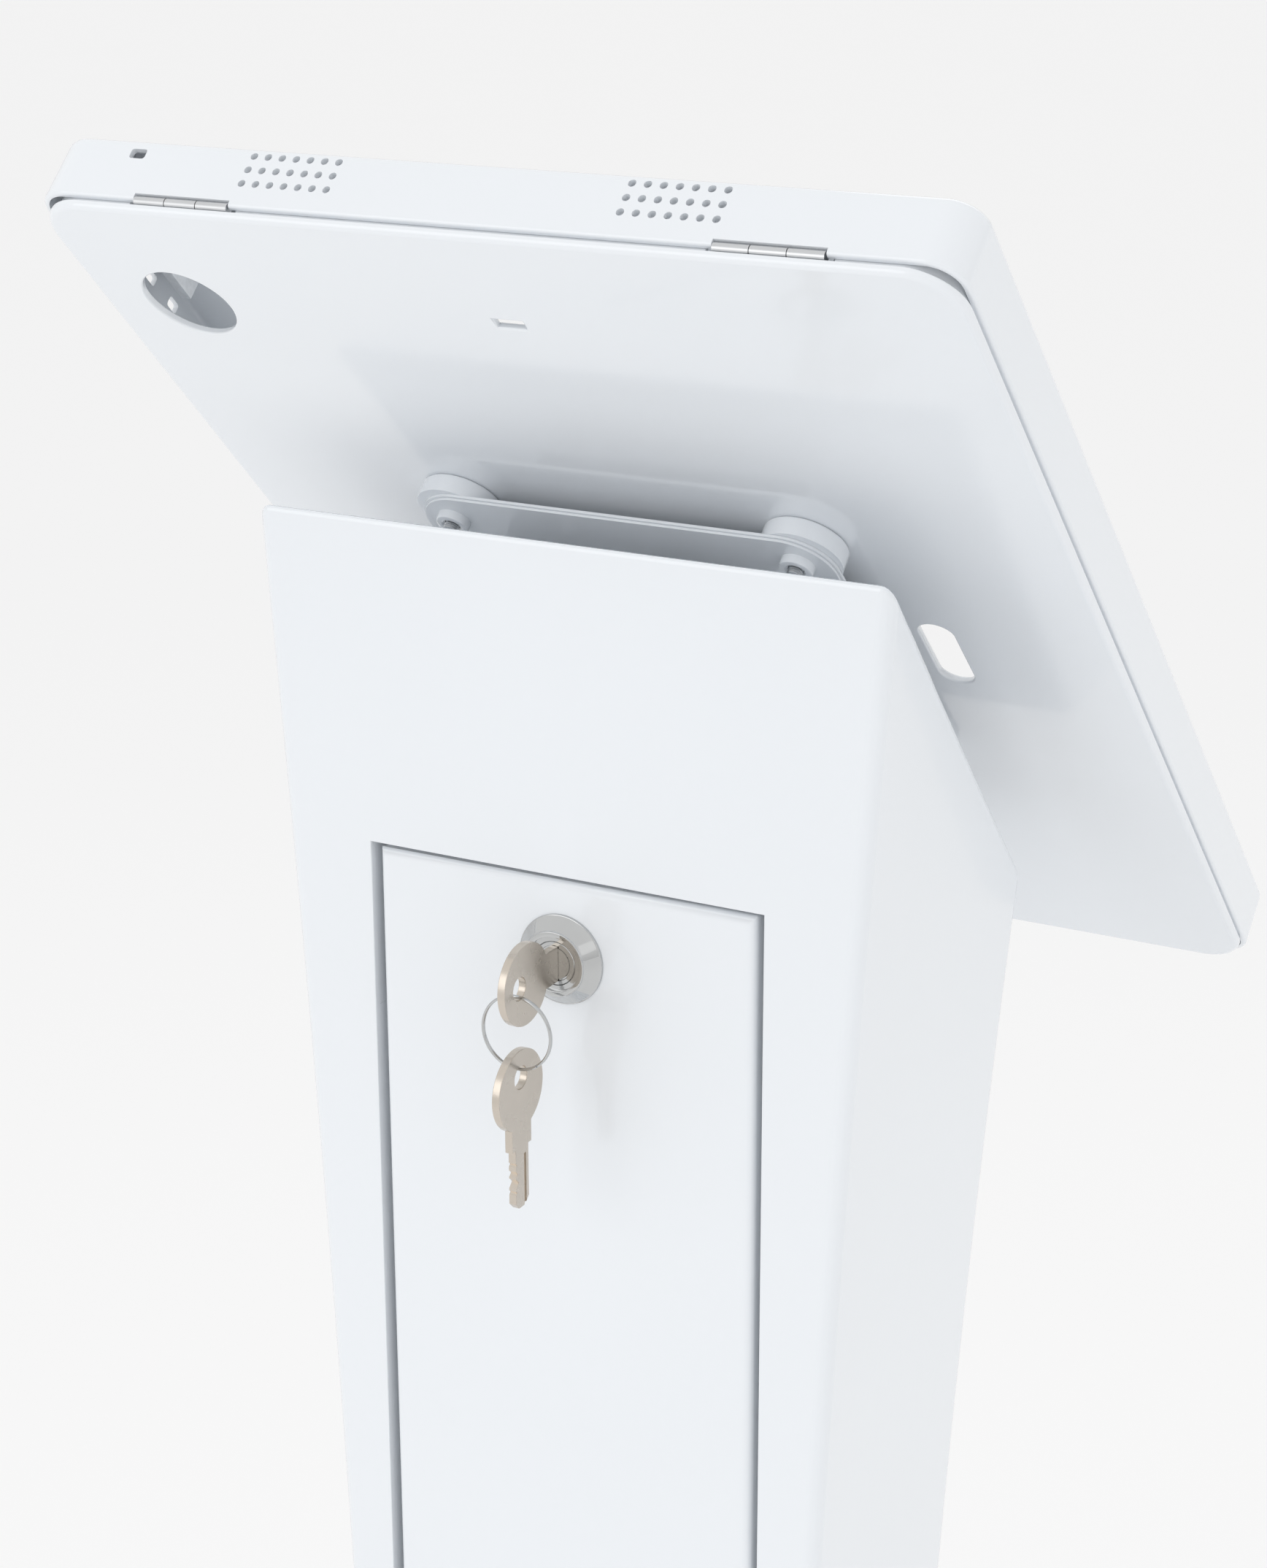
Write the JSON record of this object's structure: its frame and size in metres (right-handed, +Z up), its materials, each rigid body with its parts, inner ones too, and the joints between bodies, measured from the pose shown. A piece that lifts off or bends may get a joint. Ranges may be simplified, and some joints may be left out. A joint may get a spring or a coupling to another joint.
{
  "type": "touchscreen kiosk",
  "caption": "Free-standing steel tablet kiosk: waisted column with a locking rear door, and a hinged tablet enclosure tilted back at 45 degrees.",
  "frame": {"origin": "centre of the base sheet's underside, on the floor", "axes": "+Z up, the screen faces -Y and up, the service door faces +Y, +X to the right seen from the front"},
  "size_m": [0.38, 0.42, 1.1494],
  "materials": {
    "powder_white": "smooth glossy white powder coat",
    "powder_hardware": "white powder coat over welded hardware",
    "chrome": "polished chrome plate",
    "nickel": "satin nickel plate",
    "zinc": "bright zinc plate",
    "black_rubber": "matt black rubber",
    "black_foam": "closed-cell black foam",
    "white_nylon": "moulded white nylon"
  },
  "bodies": {
    "stand": {"base_pad": "black_rubber", "base_plate": "powder_white", "foot_flange": "zinc", "base_screws": "zinc", "column_shell": "powder_white", "door_stop_left": "powder_white", "door_stop_right": "powder_white", "lock_catch": "zinc", "pivot_bracket_left": "powder_white", "pivot_bracket_right": "powder_white", "mount_riser": "powder_white", "riser_bolts": "zinc", "hub_plate": "powder_white", "vesa_plate": "powder_white", "spacer_1": "powder_hardware", "spacer_2": "powder_hardware", "spacer_3": "powder_hardware", "spacer_4": "powder_hardware", "weld_nuts": "powder_hardware", "mount_screws": "zinc", "back_panel": "powder_white", "foam_strip_left": "black_foam", "foam_strip_right": "black_foam", "strike_plate": "zinc", "hinge_left_fixed_leaf": "zinc", "hinge_right_fixed_leaf": "zinc", "hinge_left_pin": "zinc", "hinge_right_pin": "zinc"},
    "enclosure_front": {"front_shell": "powder_white", "corner_bracket_1": "white_nylon", "corner_bracket_2": "white_nylon", "corner_bracket_3": "white_nylon", "corner_bracket_4": "white_nylon", "shell_lock_body": "chrome", "shell_lock_nut": "zinc", "hinge_left_moving_leaf": "zinc", "hinge_right_moving_leaf": "zinc"},
    "enclosure_lock": {"shell_lock_plug": "chrome", "shell_lock_cam": "zinc"},
    "door": {"service_door": "powder_white", "door_pivot_left": "zinc", "door_pivot_right": "zinc", "door_lock_body": "chrome", "door_lock_nut": "zinc"},
    "door_lock": {"door_lock_plug": "chrome", "door_lock_cam": "zinc", "cam_screw": "zinc", "door_key": "nickel"},
    "ring": {"key_ring": "chrome"},
    "spare": {"spare_key": "nickel"}
  },
  "joints": [
    {"name": "enclosure_hinge", "type": "hinge", "parent": "stand", "child": "enclosure_front", "pos_m": [0, 0.11469, 1.136], "axis": [-1, 0, 0], "range_deg": [0, 90]},
    {"name": "enclosure_lock_turn", "type": "hinge", "parent": "enclosure_front", "child": "enclosure_lock", "pos_m": [0, -0.1265, 0.90697], "axis": [0, 0.7071, 0.7071], "range_deg": [-90, 0]},
    {"name": "door_hinge", "type": "hinge", "parent": "stand", "child": "door", "pos_m": [0, 0.066, 0.116], "axis": [-1, 0, 0], "range_deg": [0, 80]},
    {"name": "door_lock_turn", "type": "hinge", "parent": "door", "child": "door_lock", "pos_m": [0, 0.073, 0.9438], "axis": [0, 1, 0], "range_deg": [-90, 0]},
    {"name": "ring_swing", "type": "hinge", "parent": "door_lock", "child": "ring", "pos_m": [0, 0.0959, 0.94155], "axis": [1, 0, 0], "range_deg": [-10, 75]},
    {"name": "spare_key_swing", "type": "hinge", "parent": "ring", "child": "spare", "pos_m": [0, 0.0959, 0.92195], "axis": [1, 0, 0], "range_deg": [-12, 60]}
  ]
}
